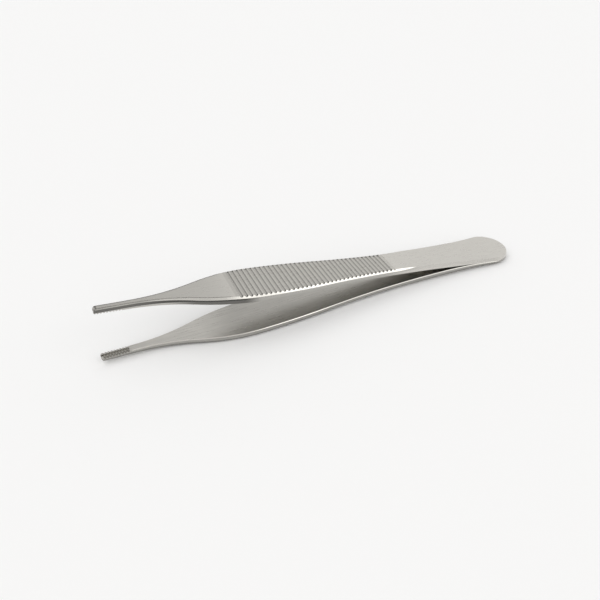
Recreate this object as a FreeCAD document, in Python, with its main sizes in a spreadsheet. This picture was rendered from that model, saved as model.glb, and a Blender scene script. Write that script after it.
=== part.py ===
"""Thumb forceps: two spring arms welded together at the butt, in millimetres.

Each arm is built in a frame of its own: X runs from the butt end to the tip, Y across the width,
and Z = 0 is the plane midway between the arms, with the arm's outer face above it. The upper arm
stays that way up and the lower arm is the same form turned over. Both are then laid down as the
forceps comes to rest: on the end of the butt and on the lower arm's shoulder, tips towards -X.
"""
import FreeCAD, Part
import math
import os

import Sketcher
from FreeCAD import Placement, Rotation, Vector

# Driving dimensions: name, value, what it measures.
DIMENSIONS = [
    ("overall_length", 120.0, "butt end to tip end"),
    ("butt_radius", 6.3, "round end of the butt, seen from above"),
    ("waist_place", 37.2, "butt end to the narrowest part of the handle"),
    ("waist_width", 9.1, "width of the handle there"),
    ("nose_length", 39.9, "tip end to the widest part of the grip"),
    ("shoulder_width", 13.1, "width of the grip there"),
    ("shoulder_rear_radius", 200.0, "edge of the grip behind its widest part"),
    ("shoulder_front_radius", 50.0, "edge of the shoulder in front of its widest part"),
    ("tip_length", 8.0, "parallel-sided stretch of the tip"),
    ("tip_width", 2.2, "width of the tip"),
    ("tip_corner_radius", 0.5, "corners of the tip, seen from above"),
    ("weld_thickness", 1.05, "one arm at the butt"),
    ("weld_length", 10.6, "butt end to where the inner faces part"),
    ("outer_bend_start", 5.7, "butt end to where the outer face starts to rise"),
    ("outer_bend_radius", 130.0, "outer face, butt into grip"),
    ("outer_grip_angle", 4.2, "degrees, outer face of the grip to the middle plane"),
    ("outer_neck_run", 5.5, "widest part of the grip to where the outer face levels out"),
    ("outer_neck_radius", 109.0, "outer face, grip into neck"),
    ("outer_tip_angle", 2.1, "degrees, outer face of neck and tip"),
    ("inner_bend_radius", 187.0, "inner face, butt into grip"),
    ("inner_grip_angle", 3.95, "degrees, inner face of the grip"),
    ("inner_neck_run", 5.0, "widest part of the grip to where the inner face changes slope"),
    ("inner_neck_radius", 300.0, "inner face, grip into neck"),
    ("inner_tip_angle", 3.2, "degrees, inner face of neck and tip"),
    ("facet_inset", 0.3, "steep facet below the outer face's edge, measured on the face"),
    ("facet_depth", 0.82, "the same facet, measured down the side"),
    ("inner_bevel", 0.15, "bevel round the inner face"),
    ("wide_bevel", 0.60, "bevel along the outer face of grip, neck and tip"),
    ("bevel_tip_width", 2.56, "width over which it is cut at the tip, where it is narrower"),
    ("bevel_run_out", 41.0, "butt end to where the wide bevel starts to fade"),
    ("run_out_radius", 57.0, "how quickly it fades"),
    ("run_out_length", 23.0, "length of the fading cut, most of it in metal cut away"),
    ("groove_count", 37, "cross grooves in each grip"),
    ("groove_pitch", 1.25, "groove to groove"),
    ("front_groove_run", 5.95, "widest part of the grip to the groove nearest the tip"),
    ("groove_depth", 0.24, "below the outer face"),
    ("groove_radius", 0.42, "round bottom of a groove"),
    ("notch_count", 9, "notches between the teeth of a tip"),
    ("tooth_pitch", 0.7, "tooth to tooth"),
    ("tooth_land", 0.06, "flat left on top of a tooth"),
    ("notch_depth", 0.42, "below the inner face"),
    ("front_notch", 0.55, "tip end to the upper arm's first notch"),
    ("channel_width", 0.6, "lengthwise channel between the two rows of teeth"),
    ("channel_depth", 0.5, "below the inner face"),
    ("stock_allowance", 2.0, "metal round the outline that is cut away"),
]

# Places worked out from the driving dimensions, as formulas of the same sheet.
DERIVED = [
    ("blank_width", "=shoulder_width + 2 * stock_allowance"),
    ("waste_side", "=shoulder_width / 2 + 2 * stock_allowance"),
    ("shoulder_place", "=overall_length - nose_length"),
    ("neck_end", "=overall_length - tip_length"),
    ("outer_neck_start", "=shoulder_place + outer_neck_run"),
    ("inner_neck_start", "=shoulder_place + inner_neck_run"),
    ("front_groove", "=shoulder_place + front_groove_run"),
    ("grip_line_x", "=outer_bend_start + outer_bend_radius * sin(outer_grip_angle * 1deg)"),
    ("grip_line_z", "=weld_thickness + outer_bend_radius * (1 - cos(outer_grip_angle * 1deg))"),
    ("grip_front_z",
     "=grip_line_z + (outer_neck_start - grip_line_x) * tan(outer_grip_angle * 1deg)"),
    ("neck_line_x", "=outer_neck_start + outer_neck_radius"
                    " * (sin(outer_grip_angle * 1deg) - sin(outer_tip_angle * 1deg))"),
    ("neck_line_z", "=grip_front_z + outer_neck_radius"
                    " * (cos(outer_tip_angle * 1deg) - cos(outer_grip_angle * 1deg))"),
    ("tip_outer_z", "=neck_line_z + (overall_length - neck_line_x) * tan(outer_tip_angle * 1deg)"),
    ("inner_line_x", "=weld_length + inner_bend_radius * sin(inner_grip_angle * 1deg)"),
    ("inner_line_z", "=inner_bend_radius * (1 - cos(inner_grip_angle * 1deg))"),
    ("inner_front_z",
     "=inner_line_z + (inner_neck_start - inner_line_x) * tan(inner_grip_angle * 1deg)"),
    ("jaw_line_x", "=inner_neck_start + inner_neck_radius"
                   " * (sin(inner_grip_angle * 1deg) - sin(inner_tip_angle * 1deg))"),
    ("jaw_line_z", "=inner_front_z + inner_neck_radius"
                   " * (cos(inner_tip_angle * 1deg) - cos(inner_grip_angle * 1deg))"),
    ("tip_inner_z", "=jaw_line_z + (overall_length - jaw_line_x) * tan(inner_tip_angle * 1deg)"),
    ("grip_edge_run", "=shoulder_place - waist_place"),
    ("grip_edge_rise", "=(shoulder_width - waist_width) / 2"),
    ("grip_edge_radius", "=(grip_edge_run ^ 2 + grip_edge_rise ^ 2) / (2 * grip_edge_rise)"
                         " - shoulder_rear_radius"),
    ("grip_edge_centre", "=waist_width / 2 + grip_edge_radius"),
    ("first_groove_run", "=(front_groove - grip_line_x) / cos(outer_grip_angle * 1deg)"),
    ("groove_rise", "=groove_radius - groove_depth"),
    ("groove_run", "=(groove_count - 1) * groove_pitch"),
    ("notch_run", "=(notch_count - 1) * tooth_pitch"),
    ("channel_length", "=front_notch + notch_count * tooth_pitch"),
]

TOOTH_OFFSET = {"upper_arm": 0.0, "lower_arm": 0.5}    # in pitches, so that the teeth interlock
MINIMUM_CUT = 1e-3                                     # mm3, less means that a cut missed the arm


def fill_sheet(document):
    """Write the dimensions into the document's sheet and return a lookup of their values."""
    sheet = document.addObject("Spreadsheet::Sheet", "Dimensions")
    rows = [(name, str(value), note) for name, value, note in DIMENSIONS]
    rows += [(name, formula, "worked out") for name, formula in DERIVED]
    for row, (name, content, note) in enumerate(rows, start=1):
        sheet.set("A%d" % row, name)
        sheet.set("B%d" % row, content)
        sheet.set("C%d" % row, note)
        sheet.setAlias("B%d" % row, name)
    document.recompute()
    return {name: float(sheet.get(name)) for name, _, _ in rows}


def origin_plane(body, role):
    """One of a body's own origin planes, found by its role."""
    return next(item for item in body.Origin.OriginFeatures if item.Role == role)


class Outline:
    """A closed sketch profile whose pieces join end to end and whose sizes follow the sheet."""

    def __init__(self, body, name, role, d):
        self.d = d
        self.sketch = body.newObject("Sketcher::SketchObject", name)
        self.sketch.AttachmentSupport = [(origin_plane(body, role), "")]
        self.sketch.MapMode = "FlatFace"

    def line(self, first, last):
        return self.sketch.addGeometry(Part.LineSegment(Vector(*first, 0), Vector(*last, 0)), False)

    def arc(self, middle, radius, first_angle, last_angle):
        """An arc that runs anticlockwise between two angles in degrees."""
        circle = Part.Circle(Vector(*middle, 0), Vector(0, 0, 1), radius)
        ends = math.radians(first_angle), math.radians(last_angle)
        return self.sketch.addGeometry(Part.ArcOfCircle(circle, *ends), False)

    def circle(self, middle, radius):
        shape = Part.Circle(Vector(*middle, 0), Vector(0, 0, 1), radius)
        return self.sketch.addGeometry(shape, False)

    def rule(self, *terms):
        return self.sketch.addConstraint(Sketcher.Constraint(*terms))

    def join(self, first, second):
        """Bring two ends together."""
        self.rule("Coincident", *first, *second)

    def blend(self, first, second):
        """Bring two ends together and run them smoothly into each other."""
        self.rule("Tangent", *first, *second)

    def chain(self, pieces):
        """Join pieces that follow one another."""
        for first, second in zip(pieces, pieces[1:]):
            self.join(end(first), start(second))

    def on_axis(self, point):
        self.rule("PointOnObject", *point, origin()[0])

    def size(self, name, formula, *terms):
        """A dimension of the sketch, named and bound to a formula of the sheet's values."""
        index = self.rule(*terms)
        self.sketch.renameConstraint(index, name)
        self.sketch.setExpression("Constraints." + name, formula)

    def radius(self, name, piece, value):
        self.size(name, "Dimensions." + value, "Radius", piece, self.d[value])

    def place(self, name, point, value):
        self.size(name, "Dimensions." + value, "DistanceX", *origin(), *point, self.d[value])

    def half_width(self, name, point, value):
        formula = "Dimensions.%s / 2" % value
        self.size(name, formula, "DistanceY", *origin(), *point, self.d[value] / 2)

    def slope(self, degrees, formula):
        """Turn the sketch about its own origin by an angle of the sheet."""
        offset = self.sketch.AttachmentOffset
        offset.Rotation = Rotation(Vector(0, 0, 1), degrees)
        self.sketch.AttachmentOffset = offset
        self.sketch.setExpression(".AttachmentOffset.Rotation.Angle", formula)

    def shift(self, x_formula, y_formula):
        """Move the sketch's origin within its plane."""
        self.sketch.setExpression(".AttachmentOffset.Base.x", x_formula)
        self.sketch.setExpression(".AttachmentOffset.Base.y", y_formula)


def start(piece):
    """The first end of a line or arc, as a sketch names it."""
    return piece, 1


def end(piece):
    return piece, 2


def centre(piece):
    return piece, 3


def origin():
    return -1, 1


def above(point, radius, degrees=0.0):
    """Centre of a bend that lies on the upper side of a line of that slope."""
    turn = math.radians(degrees)
    return point[0] - radius * math.sin(turn), point[1] + radius * math.cos(turn)


def side_profile(body, d):
    """The arm seen from the side: weld pad, bend, straight grip, shoulder bend, neck and tip."""
    outline = Outline(body, "SideProfile", "XZ_Plane", d)
    length, thickness = d["overall_length"], d["weld_thickness"]
    grip_angle, tip_angle = d["outer_grip_angle"], d["outer_tip_angle"]
    inside_angle, jaw_angle = d["inner_grip_angle"], d["inner_tip_angle"]
    bend_radius, neck_radius = d["outer_bend_radius"], d["outer_neck_radius"]
    inner_radius, mouth_radius = d["inner_bend_radius"], d["inner_neck_radius"]

    pad_end = d["outer_bend_start"], thickness
    grip_rear = d["grip_line_x"], d["grip_line_z"]
    grip_front = d["outer_neck_start"], d["grip_front_z"]
    neck_rear = d["neck_line_x"], d["neck_line_z"]
    tip_outer = length, d["tip_outer_z"]
    weld_end = d["weld_length"], 0.0
    inner_rear = d["inner_line_x"], d["inner_line_z"]
    inner_front = d["inner_neck_start"], d["inner_front_z"]
    jaw_rear = d["jaw_line_x"], d["jaw_line_z"]
    tip_inner = length, d["tip_inner_z"]

    butt = outline.line((0, 0), (0, thickness))
    pad = outline.line((0, thickness), pad_end)
    bend = outline.arc(above(pad_end, bend_radius), bend_radius, 270, 270 + grip_angle)
    grip = outline.line(grip_rear, grip_front)
    shoulder = outline.arc(above(grip_front, -neck_radius, grip_angle), neck_radius,
                           90 + tip_angle, 90 + grip_angle)
    neck = outline.line(neck_rear, tip_outer)
    nose = outline.line(tip_outer, tip_inner)
    jaw = outline.line(jaw_rear, tip_inner)
    jaw_bend = outline.arc(above(inner_front, -mouth_radius, inside_angle), mouth_radius,
                           90 + jaw_angle, 90 + inside_angle)
    inside = outline.line(inner_rear, inner_front)
    inner_bend = outline.arc(above(weld_end, inner_radius), inner_radius, 270, 270 + inside_angle)
    weld = outline.line(weld_end, (0, 0))

    outline.join(start(butt), origin())
    outline.join(end(butt), start(pad))
    outline.blend(end(pad), start(bend))
    outline.blend(end(bend), start(grip))
    outline.blend(end(grip), end(shoulder))
    outline.blend(start(shoulder), start(neck))
    outline.join(end(neck), start(nose))
    outline.join(end(nose), end(jaw))
    outline.blend(start(jaw), start(jaw_bend))
    outline.blend(end(jaw_bend), end(inside))
    outline.blend(start(inside), end(inner_bend))
    outline.blend(start(inner_bend), start(weld))
    outline.join(end(weld), start(butt))
    outline.rule("Vertical", butt)
    outline.rule("Vertical", nose)
    outline.rule("Horizontal", pad)
    outline.rule("Horizontal", weld)

    outline.size("thickness", "Dimensions.weld_thickness",
                 "DistanceY", *start(butt), *end(butt), thickness)
    outline.place("bend_start", end(pad), "outer_bend_start")
    outline.place("neck_start", end(grip), "outer_neck_start")
    outline.place("length", start(nose), "overall_length")
    outline.place("mouth_start", end(inside), "inner_neck_start")
    outline.place("weld_end", start(weld), "weld_length")
    outline.radius("bend_radius", bend, "outer_bend_radius")
    outline.radius("neck_radius", shoulder, "outer_neck_radius")
    outline.radius("mouth_radius", jaw_bend, "inner_neck_radius")
    outline.radius("inner_radius", inner_bend, "inner_bend_radius")
    for name, piece, value in [
            ("grip_angle", grip, "outer_grip_angle"),
            ("tip_angle", neck, "outer_tip_angle"),
            ("jaw_angle", jaw, "inner_tip_angle"),
            ("inside_angle", inside, "inner_grip_angle")]:
        turn = math.radians(d[value])
        outline.size(name, "Dimensions.%s * 1deg" % value, "Angle", piece, turn)
    return outline.sketch


def tangent_arcs(place, half_width, radius, other_place, other_half_width):
    """Radius and half turn of the hollow arc that meets a full arc of the outline smoothly.

    The full arc has its top at one place and the hollow arc its bottom at another.
    """
    run = abs(place - other_place)
    rise = half_width - other_half_width
    both = (run * run + rise * rise) / (2 * rise)
    return both - radius, math.degrees(math.asin(run / both))


def grip_edge(outline, d, first_angle, tip_width, jaw_end):
    """One long edge of the arm from the grip to the tip, in arcs that run into each other.

    The width at the tip is named as in the sheet. Returns the first arc, which starts at an angle
    in degrees, and the straight edge of the tip.
    """
    waist, shoulder, tip = d["waist_width"] / 2, d["shoulder_width"] / 2, d[tip_width] / 2
    waist_x, shoulder_x, neck_x = d["waist_place"], d["shoulder_place"], d["neck_end"]
    rear_radius, front_radius = d["shoulder_rear_radius"], d["shoulder_front_radius"]
    grip_radius, grip_turn = tangent_arcs(shoulder_x, shoulder, rear_radius, waist_x, waist)
    neck_radius, neck_turn = tangent_arcs(shoulder_x, shoulder, front_radius, neck_x, tip)

    grip = outline.arc((waist_x, waist + grip_radius), grip_radius, first_angle, 270 + grip_turn)
    rear = outline.arc((shoulder_x, shoulder - rear_radius), rear_radius, 90, 90 + grip_turn)
    front = outline.arc((shoulder_x, shoulder - front_radius), front_radius, 90 - neck_turn, 90)
    neck = outline.arc((neck_x, tip + neck_radius), neck_radius, 270 - neck_turn, 270)
    jaw = outline.line((neck_x, tip), (jaw_end, tip))
    outline.blend(end(grip), end(rear))
    outline.blend(start(rear), end(front))
    outline.blend(start(front), start(neck))
    outline.blend(end(neck), start(jaw))
    outline.rule("Vertical", *centre(rear), *start(rear))
    outline.rule("Horizontal", jaw)
    outline.radius("rear", rear, "shoulder_rear_radius")
    outline.radius("front", front, "shoulder_front_radius")
    outline.place("shoulder_place", start(rear), "shoulder_place")
    outline.place("neck_end", start(jaw), "neck_end")
    outline.half_width("shoulder_half", start(rear), "shoulder_width")
    outline.half_width("tip_half", start(jaw), tip_width)
    return grip, jaw


def plan_waste(body, d):
    """What lies outside one long edge of the arm, seen from above."""
    outline = Outline(body, "PlanWaste", "XY_Plane", d)
    waist, butt, corner = d["waist_width"] / 2, d["butt_radius"], d["tip_corner_radius"]
    waist_x, tip = d["waist_place"], d["tip_width"] / 2
    length, spare = d["overall_length"], d["stock_allowance"]
    side = d["waste_side"]
    run = waist_x - butt
    handle_radius = (run * run + waist * waist - butt * butt) / (2 * (butt - waist))
    handle_turn = math.degrees(math.asin(run / (handle_radius + butt)))

    butt_end = outline.arc((butt, 0), butt, 90 - handle_turn, 180)
    handle = outline.arc((waist_x, waist + handle_radius), handle_radius, 270 - handle_turn, 270)
    grip, jaw = grip_edge(outline, d, 270, "tip_width", length - corner)
    nose = outline.arc((length - corner, tip - corner), corner, 0, 90)
    tip_end = outline.line((length, tip - corner), (length, 0))
    front_axis = outline.line((length, 0), (length + spare, 0))
    front_stock = outline.line((length + spare, 0), (length + spare, side))
    side_stock = outline.line((length + spare, side), (-spare, side))
    rear_stock = outline.line((-spare, side), (-spare, 0))
    rear_axis = outline.line((-spare, 0), (0, 0))

    outline.blend(start(butt_end), start(handle))
    outline.blend(end(handle), start(grip))
    outline.blend(end(jaw), end(nose))
    outline.blend(start(nose), start(tip_end))
    outline.rule("Vertical", tip_end)
    outline.rule("Vertical", *centre(handle), *end(handle))
    outline.on_axis(centre(butt_end))
    outline.on_axis(end(tip_end))
    outline.join(end(butt_end), origin())
    outline.chain([tip_end, front_axis, front_stock, side_stock, rear_stock, rear_axis])
    outline.join(end(rear_axis), origin())
    for piece in (front_axis, side_stock, rear_axis):
        outline.rule("Horizontal", piece)
    for piece in (front_stock, rear_stock):
        outline.rule("Vertical", piece)

    outline.radius("butt", butt_end, "butt_radius")
    outline.radius("corner", nose, "tip_corner_radius")
    outline.place("waist_place", end(handle), "waist_place")
    outline.place("length", end(tip_end), "overall_length")
    outline.half_width("waist_half", end(handle), "waist_width")
    outline.size("spare_front", "Dimensions.stock_allowance",
                 "DistanceX", *start(front_axis), *end(front_axis), spare)
    outline.size("spare_rear", "Dimensions.stock_allowance",
                 "DistanceX", *start(rear_axis), *end(rear_axis), spare)
    outline.size("spare_side", "Dimensions.waste_side",
                 "DistanceY", *start(front_stock), *end(front_stock), side)
    return outline.sketch


def bevel_plan(body, d):
    """What lies outside the edge along which the wide bevel is cut.

    It follows the arm's own edge along the grip, draws away from it a little towards the tip,
    where the bevel is narrower, and curves away from it towards the butt, so that the bevel fades
    out there.
    """
    outline = Outline(body, "BevelPlan", "XY_Plane", d)
    front, side = d["overall_length"] + d["stock_allowance"], d["waste_side"]
    tip = d["bevel_tip_width"] / 2
    run_out_x, radius = d["bevel_run_out"], d["run_out_radius"]
    turn = math.asin((run_out_x - d["waist_place"]) / d["grip_edge_radius"])
    middle_x = run_out_x - radius * math.sin(turn)
    middle_y = d["grip_edge_centre"] - (d["grip_edge_radius"] - radius) * math.cos(turn)
    rear_x = run_out_x - d["run_out_length"]
    rear_angle = 180 + math.degrees(math.acos((middle_x - rear_x) / radius))
    rear_y = middle_y + radius * math.sin(math.radians(rear_angle))

    grip_angle = 270 + math.degrees(turn)
    run_out = outline.arc((middle_x, middle_y), radius, rear_angle, grip_angle)
    grip, jaw = grip_edge(outline, d, grip_angle, "bevel_tip_width", front)
    front_stock = outline.line((front, tip), (front, side))
    side_stock = outline.line((front, side), (rear_x, side))
    rear_stock = outline.line((rear_x, side), (rear_x, rear_y))

    outline.blend(end(run_out), start(grip))
    outline.chain([jaw, front_stock, side_stock, rear_stock])
    outline.join(end(rear_stock), start(run_out))
    outline.rule("Horizontal", side_stock)
    for piece in (front_stock, rear_stock):
        outline.rule("Vertical", piece)
    outline.radius("run_out_radius", run_out, "run_out_radius")
    outline.place("run_out", end(run_out), "bevel_run_out")
    outline.place("grip_middle", centre(grip), "waist_place")
    outline.size("grip_radius", "Dimensions.grip_edge_centre",
                 "DistanceY", *origin(), *centre(grip), d["grip_edge_centre"])
    outline.size("run_out_length", "Dimensions.run_out_length",
                 "DistanceX", *start(run_out), *end(run_out), d["run_out_length"])
    outline.size("front_end", "Dimensions.overall_length + Dimensions.stock_allowance",
                 "DistanceX", *origin(), *end(jaw), front)
    outline.size("side_end", "Dimensions.waste_side", "DistanceY", *origin(), *end(front_stock), side)
    return outline.sketch


def groove_profile(body, d):
    """The round cutter of a cross groove, in a frame that lies along the grip's outer face."""
    outline = Outline(body, "GrooveProfile", "XZ_Plane", d)
    outline.slope(d["outer_grip_angle"], "Dimensions.outer_grip_angle * 1deg")
    outline.shift("Dimensions.grip_line_x * 1mm", "Dimensions.grip_line_z * 1mm")
    cutter = outline.circle((d["first_groove_run"], d["groove_rise"]), d["groove_radius"])
    outline.radius("radius", cutter, "groove_radius")
    outline.place("place", centre(cutter), "first_groove_run")
    outline.size("rise", "Dimensions.groove_rise",
                 "DistanceY", *origin(), *centre(cutter), d["groove_rise"])
    return outline.sketch


def jaw_frame(outline, d):
    """Put a sketch's origin at the tip's inner corner, with its first axis along the inner face."""
    outline.slope(d["inner_tip_angle"], "Dimensions.inner_tip_angle * 1deg")
    outline.shift("Dimensions.overall_length * 1mm", "Dimensions.tip_inner_z * 1mm")


def channel_profile(body, d):
    """Side of the channel that parts the two rows of teeth."""
    outline = Outline(body, "ChannelProfile", "XZ_Plane", d)
    jaw_frame(outline, d)
    length, depth, spare = d["channel_length"], d["channel_depth"], d["stock_allowance"]
    floor = outline.line((-length, depth), (spare, depth))
    front = outline.line((spare, depth), (spare, -spare))
    below = outline.line((spare, -spare), (-length, -spare))
    rear = outline.line((-length, -spare), (-length, depth))
    outline.chain([floor, front, below, rear, floor])
    for piece in (floor, below):
        outline.rule("Horizontal", piece)
    for piece in (front, rear):
        outline.rule("Vertical", piece)
    outline.size("reach", "Dimensions.channel_length", "DistanceX", *start(floor), *origin(), length)
    outline.size("depth", "Dimensions.channel_depth", "DistanceY", *origin(), *start(floor), depth)
    outline.size("spare_front", "Dimensions.stock_allowance", "DistanceX", *origin(), *end(floor), spare)
    outline.size("spare_below", "Dimensions.stock_allowance", "DistanceY", *start(below), *origin(), spare)
    return outline.sketch


def notch_profile(body, d, tooth_offset):
    """The vee between two teeth nearest the tip end."""
    outline = Outline(body, "NotchProfile", "XZ_Plane", d)
    jaw_frame(outline, d)
    place = d["front_notch"] + tooth_offset * d["tooth_pitch"]
    depth = d["notch_depth"]
    mouth = d["tooth_pitch"] - d["tooth_land"]
    apex = (-place, depth)
    rear = (-place - mouth, -depth)
    front = (-place + mouth, -depth)
    rear_flank = outline.line(apex, rear)
    base = outline.line(rear, front)
    front_flank = outline.line(front, apex)
    outline.chain([rear_flank, base, front_flank, rear_flank])
    outline.rule("Horizontal", base)
    outline.rule("Equal", rear_flank, front_flank)
    outline.size("place", "Dimensions.front_notch + %g * Dimensions.tooth_pitch" % tooth_offset,
                 "DistanceX", *start(rear_flank), *origin(), place)
    outline.size("depth", "Dimensions.notch_depth", "DistanceY", *origin(), *start(rear_flank), depth)
    outline.size("below", "Dimensions.notch_depth", "DistanceY", *start(base), *origin(), depth)
    outline.size("width", "2 * (Dimensions.tooth_pitch - Dimensions.tooth_land)",
                 "DistanceX", *start(base), *end(base), 2 * mouth)
    return outline.sketch


def add_cut(body, name, sketch, width=None):
    """Cut a profile both ways, right through or to a width that the sheet gives."""
    cut = body.newObject("PartDesign::Pocket", name)
    cut.Profile = sketch
    cut.SideType = "Symmetric"
    if width:
        cut.Type = "Length"
        cut.setExpression("Length", "Dimensions." + width)
    else:
        cut.Type = "ThroughAll"
    return cut


def add_row(body, name, cut, count, run):
    """Repeat a cut towards the butt, against the first axis of its own sketch."""
    row = body.newObject("PartDesign::LinearPattern", name)
    row.Originals = [cut]
    row.Direction = (cut.Profile[0], ["H_Axis"])
    row.Reversed = True
    row.setExpression("Length", "Dimensions." + run)
    row.setExpression("Occurrences", "Dimensions." + count)
    body.Tip = row
    return row


def rim_edges(shape, facing, behind):
    """Names of the edges between the side walls and the faces that look up (1) or down (-1)."""
    names = []
    for index, edge in enumerate(shape.Edges, start=1):
        point = edge.valueAt((edge.FirstParameter + edge.LastParameter) / 2)
        tilts = []
        for face in shape.ancestorsOfType(edge, Part.Face):
            tilts.append(face.normalAt(*face.Surface.parameter(point)).z * facing)
        if min(tilts) < 0.1 and max(tilts) > 0.9 and point.x > behind:
            names.append("Edge%d" % index)
    return names


def add_bevel(body, name, base, edges, value):
    bevel = body.newObject("PartDesign::Chamfer", name)
    bevel.Base = (base, edges)
    bevel.setExpression("Size", "Dimensions." + value)
    return bevel


def make_blank(document, label, d, plan):
    """A body with the arm's side profile, trimmed on both sides to a plan."""
    body = document.addObject("PartDesign::Body", label)
    body.Label = label
    blank = body.newObject("PartDesign::Pad", "Blank")
    blank.Profile = side_profile(body, d)
    blank.SideType = "Symmetric"
    blank.setExpression("Length", "Dimensions.blank_width")
    trim = add_cut(body, "Trim", plan(body, d))
    both_sides = body.newObject("PartDesign::Mirrored", "BothSides")
    both_sides.Originals = [trim]
    both_sides.MirrorPlane = (origin_plane(body, "XZ_Plane"), [""])
    body.Tip = both_sides
    document.recompute()
    return body


def make_bevelled_stock(document, label, d):
    """The form that bounds the arm with the wide bevel, which fades towards the butt."""
    body = make_blank(document, label, d, bevel_plan)
    edges = rim_edges(body.Tip.Shape, 1, d["bevel_run_out"] - d["run_out_length"])
    add_bevel(body, "WideBevel", body.Tip, edges, "wide_bevel")
    document.recompute()
    return body


def make_arm(document, label, d):
    """One arm in its own frame, outer face up."""
    stock = make_bevelled_stock(document, label + "_stock", d)
    body = make_blank(document, label, d, plan_waste)
    facet = add_bevel(body, "SideFacet", body.Tip, rim_edges(body.Tip.Shape, 1, 0), "facet_inset")
    facet.ChamferType = "Two distances"
    facet.setExpression("Size2", "Dimensions.facet_depth")
    document.recompute()
    add_bevel(body, "InnerBevel", facet, rim_edges(facet.Shape, -1, d["weld_length"]), "inner_bevel")
    wide = body.newObject("PartDesign::Boolean", "WideBevel")
    wide.Type = "Common"
    wide.addObject(stock)
    document.recompute()

    groove = add_cut(body, "Groove", groove_profile(body, d))
    add_row(body, "GripGrooves", groove, "groove_count", "groove_run")
    add_cut(body, "Channel", channel_profile(body, d), "channel_width")
    notch = add_cut(body, "Notch", notch_profile(body, d, TOOTH_OFFSET[label]))
    add_row(body, "Teeth", notch, "notch_count", "notch_run")
    document.recompute()
    return body


def rest_angle(d):
    """How far the middle plane rises towards the tips when the forceps lies on its lower arm.

    The forceps rests on the end of the butt and, in front, on the bend behind the neck, or on the
    tip end where the neck slopes more than the line between the two.
    """
    heel_x, heel_z = d["facet_inset"], d["weld_thickness"]
    radius = d["outer_neck_radius"]
    centre_x, centre_z = above((d["outer_neck_start"], d["grip_front_z"]), -radius, d["outer_grip_angle"])
    reach = math.hypot(centre_x - heel_x, centre_z - heel_z)
    on_bend = math.atan2(centre_z - heel_z, centre_x - heel_x) + math.asin(radius / reach)
    on_tip = math.atan2(d["tip_outer_z"] - heel_z, d["overall_length"] - d["facet_inset"] - heel_x)
    return max(math.degrees(on_bend), math.degrees(on_tip))


def lay_down(upper, lower, d):
    """Turn the arms to the way the forceps rests, its box centred over the origin and on Z = 0."""
    turn = Rotation(Vector(0, 0, 1), 180) * Rotation(Vector(0, 1, 0), -rest_angle(d))
    over = turn * Rotation(Vector(1, 0, 0), 180)
    upper.Placement = Placement(Vector(), turn)
    lower.Placement = Placement(Vector(), over)
    box = Part.makeCompound([upper.Shape, lower.Shape]).optimalBoundingBox(False)
    seat = Vector(-box.Center.x, -box.Center.y, -box.ZMin)
    upper.Placement = Placement(seat, turn)
    lower.Placement = Placement(seat, over)


def check(document, bodies):
    """Stop unless every object is up to date, every arm is one sound solid and every cut has cut."""
    failed = [item.Name for item in document.Objects
              if "Invalid" in item.State or "Error" in item.State]
    if failed:
        raise RuntimeError("failed objects: " + ", ".join(failed))
    for body in bodies:
        if body.Shape.isNull() or not body.Shape.isValid() or len(body.Shape.Solids) != 1:
            raise RuntimeError(body.Label + " isn't one sound solid")
        features = [item for item in body.Group if item.isDerivedFrom("PartDesign::Feature")]
        for before, after in zip(features, features[1:]):
            if after.Shape.Volume > before.Shape.Volume - MINIMUM_CUT:
                raise RuntimeError("%s cuts nothing from %s" % (after.Label, body.Label))


document = FreeCAD.newDocument("thumb_forceps")
dimensions = fill_sheet(document)
upper_arm = make_arm(document, "upper_arm", dimensions)
lower_arm = make_arm(document, "lower_arm", dimensions)
lay_down(upper_arm, lower_arm, dimensions)
document.recompute()
check(document, [upper_arm, lower_arm])

os.makedirs("parts", exist_ok=True)
for arm in (upper_arm, lower_arm):
    arm.Shape.exportStep("parts/%s.step" % arm.Label)
    print("%s %.1f mm3, %d faces" % (arm.Label, arm.Shape.Volume, len(arm.Shape.Faces)))
print("rests with the middle plane at %.2f degrees" % rest_angle(dimensions))
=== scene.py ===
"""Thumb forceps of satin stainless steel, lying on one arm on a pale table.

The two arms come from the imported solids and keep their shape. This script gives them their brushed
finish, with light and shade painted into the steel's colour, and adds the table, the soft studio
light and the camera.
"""

import math

import bpy
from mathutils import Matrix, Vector

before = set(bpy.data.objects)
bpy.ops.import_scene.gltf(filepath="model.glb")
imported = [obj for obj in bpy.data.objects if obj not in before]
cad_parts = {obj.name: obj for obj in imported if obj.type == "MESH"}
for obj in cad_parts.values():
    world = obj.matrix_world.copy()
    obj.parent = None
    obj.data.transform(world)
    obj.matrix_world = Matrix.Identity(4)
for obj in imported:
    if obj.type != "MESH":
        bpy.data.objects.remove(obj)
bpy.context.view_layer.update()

# Places and sizes are in metres, angles in degrees, the lens in millimetres.

# Camera: it looks down on the forceps from the side, towards +Y and a little towards the butt.
AIM = Vector((-0.00638, 0.00223, 0.00021))
CAMERA_DISTANCE = 0.1686
CAMERA_ELEVATION = 38.31
CAMERA_HEADING = 24.36
LENS = 36.98
CLIP_START = 0.005

# Table.
TABLE_SIZE = 4.0
TABLE_COLOUR = (0.93, 0.93, 0.93)

# Sky: pale, brightest in a band half way up, dimmer overhead and high up beyond the tips, and with
# a soft box in it. A height is the sine of the angle above the horizon.
SKY_COLOUR = (1.0, 0.995, 0.985)
HORIZON_LEVEL = 0.76
BAND_LEVEL = 0.92
BAND_HEIGHT = 0.55
TOP_START = 0.66
TOP_LEVEL = 0.4
SHADE_DIRECTION = (-0.7, 0.7, 0.0)
SHADE_REACH = (0.2, 0.72)
SHADE_HEIGHTS = (0.15, 0.4)
SHADE_LEVEL = 0.55
BOX_DIRECTION = Vector((0.50, -0.55, 0.66)).normalized()
BOX_SHARPNESS = 26
BOX_LEVEL = 1.7

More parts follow.
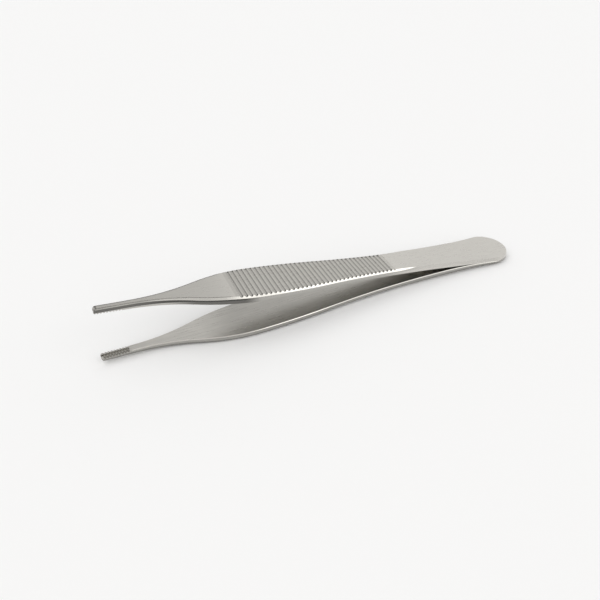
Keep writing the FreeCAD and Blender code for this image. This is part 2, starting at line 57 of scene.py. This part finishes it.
# Lamp: broad, and high over the tips.
LAMP_DIRECTION = Vector((-0.45, 0.10, 0.88))
LAMP_WIDTH = 60.0
LAMP_LEVEL = 0.93

# Slope at which the plane between the arms rises towards the tips.
ARM_SLOPE = 0.0646

# Satin steel. A tone is a share of the steel's own colour; the tones paint light and shade into it,
# darker where a face would mirror something dark or lie in shade, brighter for a painted highlight.
# Stops give a level along an arm, each a place along X and the level there. A limit is where a soft
# mask starts and where it is full.
STEEL = (0.64, 0.623, 0.585)
SATIN_ROUGHNESS = 0.29
EDGE_ROUGHNESS = 0.17

# Faces of an arm. The edge faces look sideways, and are told apart by how far they look outward.
EDGE_LIMIT = (0.2, 0.4)
OUTSIDE_LIMIT = (0.1, 0.4)
INSIDE_LIMIT = (-0.8, -0.9)
EDGE_FACES = {
    "wall": [(0.25, 0.15), (-0.4, -0.2)],
    "facet": [(0.15, 0.25), (0.6, 0.5)],
    "bevel": [(0.5, 0.6)],
    "inner_edge": [(-0.2, -0.4)],
}
# Painted light and shade on each face along an arm. The outer face is painted darker towards the
# tips and the inner faces darker along the middle, as painted shade between the arms. The upper
# arm's walls and facets get a painted dark band at the tips and neck, and its bevel a painted
# highlight along the neck and painted shade where the grip starts. The lower arm's edge faces get
# painted shade, most on the facets that look down to the table.
OUTER_PAINTED_TONES = [(-0.034, 0.85), (-0.020, 1.0)]
INNER_PAINTED_TONES = [(-0.038, 0.96), (-0.024, 0.70), (0.026, 0.68), (0.034, 1.08)]
UPPER_PAINTED_TONES = {
    "wall": [(-0.044, 0.76), (-0.035, 0.26), (-0.025, 0.24), (-0.020, 0.68),
             (0.014, 0.68), (0.024, 1.0)],
    "facet": [(-0.051, 0.30), (-0.040, 0.17), (-0.025, 0.16), (-0.020, 0.75),
              (0.016, 0.75), (0.030, 0.96)],
    "bevel": [(-0.050, 0.58), (-0.042, 1.12), (-0.026, 1.04), (-0.020, 0.65), (-0.004, 1.0)],
    "inner_edge": [(0.0, 0.8)],
    "outer": OUTER_PAINTED_TONES,
    "inner": INNER_PAINTED_TONES,
}
LOWER_PAINTED_TONES = {
    "wall": [(0.0, 0.66)],
    "facet": [(-0.046, 0.50), (-0.030, 0.34), (-0.012, 0.38), (0.006, 0.56)],
    "bevel": [(0.0, 0.8)],
    "inner_edge": [(-0.014, 1.0), (0.004, 0.62)],
    "outer": OUTER_PAINTED_TONES,
    "inner": INNER_PAINTED_TONES,
}

# Grip: painted shade over the ribbed face, painted shade on the groove flanks that look towards the
# tips and a painted highlight on those that look towards the butt, and painted shade in the notches
# where the grooves run out into the bevel, past a half width given as stops.
GRIP_LIMITS = [(-0.0268, -0.0266), (0.0191, 0.0189)]
GRIP_PAINTED_SHADE = 0.87
TIP_FLANK_LIMIT = (-0.2, -0.5)
TIP_FLANK_PAINTED_SHADE = 0.72
BUTT_FLANK_LIMIT = (0.2, 0.5)
BUTT_FLANK_PAINTED_HIGHLIGHT = 1.10
NOTCH_STOPS = [(-0.030, 0.0050), (-0.018, 0.0055), (0.0229, 0.0033)]
NOTCH_LIMIT = (-0.0001, 0.0003)
NOTCH_FLANK_LIMIT = (0.1, 0.3)
NOTCH_PAINTED_SHADE = 0.28

# Tips: painted shade on the flanks of the teeth, which slant and aren't the arm's own walls, and a
# painted highlight on the end face.
TEETH_LIMIT = (-0.0526, -0.0528)
TOOTH_SLANT_LIMIT = (0.3, 0.5)
TOOTH_WALL_LIMIT = (0.95, 0.9)
TOOTH_PAINTED_SHADE = 0.62
END_LIMIT = (-0.6, -0.8)
END_PAINTED_HIGHLIGHT = 1.5

# Painted shade: a thin dark rim of the outer face in front of the grip, where the normal of a
# rounded form turns away from the real one, stands in for the dark reflection of a rounded edge.
RIM_WIDTH = 0.0006
RIM_SAMPLES = 6
RIM_TURN_LIMIT = (0.9995, 0.996)
RIM_END_LIMIT = (-0.0272, -0.0282)
RIM_PAINTED_SHADE = 0.20

# Grain of the brushing: how fine it is along X, Y and Z, and its detail.
STREAKS = ((90, 2600, 2600), 3.0)
HAIRLINES = ((240, 9000, 9000), 2.0)
PATCHES = ((330, 620, 620), 4.0)
GRAIN_MIDDLE = 0.5

# What the grain does to the tone, the roughness and the relief. On the inner face, on the edge
# faces and on the grip it does a share of that.
STREAK_WEAR = 0.16
HAIRLINE_WEAR = 0.08
PATCH_WEAR = 0.10
INSIDE_WEAR = 2.0
EDGE_WEAR = 0.4
GRIP_WEAR = 0.4
STREAK_ROUGHNESS = 0.10
PATCH_ROUGHNESS = 0.10
INSIDE_ROUGHNESS = 0.4
STREAK_RELIEF = 0.4
HAIRLINE_RELIEF = 0.6
INSIDE_RELIEF = 0.4
EDGE_RELIEF = 0.2
GRIP_RELIEF = 0.1
RELIEF_STRENGTH = 0.25
RELIEF_DEPTH = 0.00002


class Value:
    """A socket of a finish, on which Python's operators add Math nodes."""

    def __init__(self, finish, socket):
        self.finish = finish
        self.socket = socket

    def math(self, operation, *others):
        return self.finish.add("Math", {"operation": operation}, [self, *others])

    def __add__(self, other):
        return self.math("ADD", other)

    def __sub__(self, other):
        return self.math("SUBTRACT", other)

    def __rsub__(self, other):
        return self.finish.add("Math", {"operation": "SUBTRACT"}, [other, self])

    def __mul__(self, other):
        return self.math("MULTIPLY", other)

    def __pow__(self, other):
        return self.math("POWER", other)

    __radd__ = __add__
    __rmul__ = __mul__


class Finish:
    """The nodes of a material or of the sky, added with one method."""

    def __init__(self, owner):
        self.owner = owner
        owner.use_nodes = True
        self.nodes = owner.node_tree.nodes
        self.links = owner.node_tree.links
        self.nodes.clear()

    def add(self, kind, settings=None, inputs=None, output=0):
        """Add a node, with its settings first and then the values or links of its sockets."""
        node = self.nodes.new("ShaderNode" + kind)
        for name, value in (settings or {}).items():
            setattr(node, name, value)
        pairs = inputs.items() if isinstance(inputs, dict) else enumerate(inputs or [])
        for key, value in pairs:
            if isinstance(value, Value):
                self.links.new(value.socket, node.inputs[key])
            else:
                node.inputs[key].default_value = value
        return Value(self, node.outputs[output]) if node.outputs else node

    def along(self, vector, axis):
        """How far a vector reaches along an axis."""
        return self.add("VectorMath", {"operation": "DOT_PRODUCT"}, [vector, axis], output="Value")

    def fade(self, value, first, last, low=0.0, high=1.0):
        """A smooth step from low to high as the value goes from first to last."""
        return self.add("MapRange", {"interpolation_type": "SMOOTHSTEP"}, {
            "Value": value, "From Min": first, "From Max": last, "To Min": low, "To Max": high})

    def past(self, value, *limits):
        """A soft mask that is one where the value is past every limit."""
        mask = self.fade(value, *limits[0])
        for limit in limits[1:]:
            mask = mask * self.fade(value, *limit)
        return mask

    def profile(self, value, stops):
        """A level that runs in smooth steps through the stops, each a place and its level."""
        level = stops[0][1]
        for (first, low), (last, high) in zip(stops, stops[1:]):
            level = level + self.fade(value, first, last, 0.0, high - low)
        return level

    def scaled(self, value, mask, share):
        """A value that changes to a share of itself where the mask is one."""
        return value * (1 - mask * (1 - share))

    def grain(self, place, scale, detail):
        """Noise in a pattern that is stretched along the arm."""
        stretched = self.add("VectorMath", {"operation": "MULTIPLY"}, [place, scale])
        return self.add("TexNoise", None, {"Vector": stretched, "Scale": 1.0, "Detail": detail})


def painted_satin_steel(name, outward, painted_tones):
    """Steel of one arm, whose outer face looks up (1) or down (-1).

    The faces are brushed lengthwise to a satin and the ground edges are smoother. Light and shade
    are painted into the colour: every face has its own painted tone along the arm, the grip, the
    groove flanks that look towards the tips, the groove ends and the teeth get painted shade, the
    flanks that look towards the butt and the end face of the tip a painted highlight, and a thin
    painted dark rim lies round the neck's outer face.
    """
    finish = Finish(bpy.data.materials.new(name))
    place = finish.add("TexCoord", output="Object")
    normal = finish.add("TexCoord", output="Normal")
    along = finish.along(place, (1, 0, 0))
    across = finish.along(place, (0, 1, 0)).math("ABSOLUTE")
    facing = finish.along(normal, (ARM_SLOPE * outward, 0, outward))
    sideways = finish.along(normal, (0, 1, 0)).math("ABSOLUTE")
    rearward = finish.along(normal, (1, 0, -ARM_SLOPE))
    lengthwise = rearward.math("ABSOLUTE")

    edge = finish.past(sideways, EDGE_LIMIT)
    outside = finish.past(facing, OUTSIDE_LIMIT)
    inside = finish.past(facing, INSIDE_LIMIT)
    faces = {"outer": outside * (1 - edge), "inner": inside}
    for face, limits in EDGE_FACES.items():
        faces[face] = edge * finish.past(facing, *limits)

    # Masks of painted marks: painted shade on the grip, its flanks towards the tips, the notches,
    # the teeth and the rim, and a painted highlight on the flanks towards the butt and on the end
    # face.
    grip = outside * finish.past(along, *GRIP_LIMITS)
    ribs = grip * (1 - edge)
    tip_flank_shade = grip * finish.past(rearward, TIP_FLANK_LIMIT)
    butt_flank_highlight = grip * finish.past(rearward, BUTT_FLANK_LIMIT)
    notches = ribs * finish.past(lengthwise, NOTCH_FLANK_LIMIT)
    notches = notches * finish.past(across - finish.profile(along, NOTCH_STOPS), NOTCH_LIMIT)
    teeth = (1 - outside) * finish.past(along, TEETH_LIMIT)
    teeth = teeth * finish.past(sideways + lengthwise, TOOTH_SLANT_LIMIT)
    teeth = teeth * finish.past(sideways, TOOTH_WALL_LIMIT)
    end_highlight = (1 - grip) * finish.past(rearward, END_LIMIT)
    rounded = finish.add("Bevel", {"samples": RIM_SAMPLES}, {"Radius": RIM_WIDTH})
    rim = faces["outer"] * finish.past(finish.along(normal, rounded), RIM_TURN_LIMIT)
    rim = rim * finish.past(along, RIM_END_LIMIT)

    painted_marks = [(rim, RIM_PAINTED_SHADE), (ribs, GRIP_PAINTED_SHADE), (tip_flank_shade, TIP_FLANK_PAINTED_SHADE),
             (butt_flank_highlight, BUTT_FLANK_PAINTED_HIGHLIGHT), (notches, NOTCH_PAINTED_SHADE), (teeth, TOOTH_PAINTED_SHADE),
             (end_highlight, END_PAINTED_HIGHLIGHT)]
    # The tone paints light and shade into the colour: each face's painted tone along the arm, then
    # the painted marks.
    tone = 1.0
    for face, mask in faces.items():
        tone = finish.scaled(tone, mask, finish.profile(along, painted_tones[face]))
    for mask, share in painted_marks:
        tone = finish.scaled(tone, mask, share)

    streaks = finish.grain(place, *STREAKS)
    hairlines = finish.grain(place, *HAIRLINES)
    patches = finish.grain(place, *PATCHES)
    wear = (streaks - GRAIN_MIDDLE) * STREAK_WEAR + (patches - GRAIN_MIDDLE) * PATCH_WEAR
    wear = finish.scaled(wear, inside, INSIDE_WEAR) + (hairlines - GRAIN_MIDDLE) * HAIRLINE_WEAR
    for mask, share in ((edge, EDGE_WEAR), (grip, GRIP_WEAR)):
        wear = finish.scaled(wear, mask, share)
    colour = finish.add("VectorMath", {"operation": "SCALE"}, {
        "Vector": STEEL, "Scale": tone * (1 + wear)})

    patchy = finish.scaled((patches - GRAIN_MIDDLE) * PATCH_ROUGHNESS, inside, INSIDE_ROUGHNESS)
    roughness = SATIN_ROUGHNESS + (streaks - GRAIN_MIDDLE) * STREAK_ROUGHNESS + patchy
    roughness = roughness * (1 - edge) + edge * EDGE_ROUGHNESS

    relief = hairlines * HAIRLINE_RELIEF + streaks * STREAK_RELIEF
    for mask, share in ((edge, EDGE_RELIEF), (grip, GRIP_RELIEF), (inside, INSIDE_RELIEF)):
        relief = finish.scaled(relief, mask, share)
    surface = finish.add("Bump", None, {
        "Strength": RELIEF_STRENGTH, "Distance": RELIEF_DEPTH, "Height": relief})

    shader = finish.add("BsdfPrincipled", None, {
        "Base Color": colour, "Metallic": 1.0, "Roughness": roughness, "Normal": surface})
    finish.add("OutputMaterial", None, {"Surface": shader})
    return finish.owner


def table_finish():
    finish = Finish(bpy.data.materials.new("pale_table"))
    shader = finish.add("BsdfDiffuse", None, {"Color": (*TABLE_COLOUR, 1.0)})
    finish.add("OutputMaterial", None, {"Surface": shader})
    return finish.owner


def lay_table():
    bpy.ops.object.select_all(action="DESELECT")
    bpy.ops.mesh.primitive_plane_add(size=TABLE_SIZE, location=(0, 0, 0))
    table = bpy.context.object
    table.name = "table"
    table.data.materials.append(table_finish())


def light_sky():
    world = bpy.data.worlds.new("studio")
    bpy.context.scene.world = world
    finish = Finish(world)
    direction = finish.add("TexCoord", output="Generated")
    height = finish.along(direction, (0, 0, 1))
    level = finish.fade(height, 0.0, BAND_HEIGHT, HORIZON_LEVEL, BAND_LEVEL)
    level = level * finish.fade(height, TOP_START, 1.0, 1.0, TOP_LEVEL)
    shade = finish.past(finish.along(direction, SHADE_DIRECTION), SHADE_REACH)
    level = finish.scaled(level, shade * finish.past(height, SHADE_HEIGHTS), SHADE_LEVEL)
    box = finish.along(direction, BOX_DIRECTION).math("MAXIMUM", 0.0) ** BOX_SHARPNESS
    level = level + box * BOX_LEVEL
    light = finish.add("Background", None, {"Color": (*SKY_COLOUR, 1.0), "Strength": level})
    finish.add("OutputWorld", None, {"Surface": light})


def hang_lamp():
    """A broad lamp, far away, that gives the forceps its soft shadow."""
    bpy.ops.object.select_all(action="DESELECT")
    bpy.ops.object.light_add(type="SUN", location=LAMP_DIRECTION)
    lamp = bpy.context.object
    lamp.name = "broad_lamp"
    lamp.rotation_mode = "QUATERNION"
    lamp.rotation_quaternion = LAMP_DIRECTION.to_track_quat("Z", "Y")
    lamp.data.angle = math.radians(LAMP_WIDTH)
    lamp.data.energy = LAMP_LEVEL


def place_camera():
    rise, turn = math.radians(CAMERA_ELEVATION), math.radians(CAMERA_HEADING)
    level = math.cos(rise)
    look = Vector((level * math.sin(turn), level * math.cos(turn), -math.sin(rise)))
    bpy.ops.object.select_all(action="DESELECT")
    bpy.ops.object.camera_add(location=AIM - CAMERA_DISTANCE * look)
    camera = bpy.context.object
    camera.rotation_mode = "QUATERNION"
    camera.rotation_quaternion = look.to_track_quat("-Z", "Y")
    camera.data.lens = LENS
    camera.data.clip_start = CLIP_START
    bpy.context.scene.camera = camera


bpy.context.scene.view_settings.view_transform = "Standard"
for name, outward, painted_tones in (("upper", 1, UPPER_PAINTED_TONES), ("lower", -1, LOWER_PAINTED_TONES)):
    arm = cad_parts[name + "_arm"]
    arm.data.materials.clear()
    arm.data.materials.append(painted_satin_steel(name + "_steel", outward, painted_tones))
lay_table()
light_sky()
hang_lamp()
place_camera()
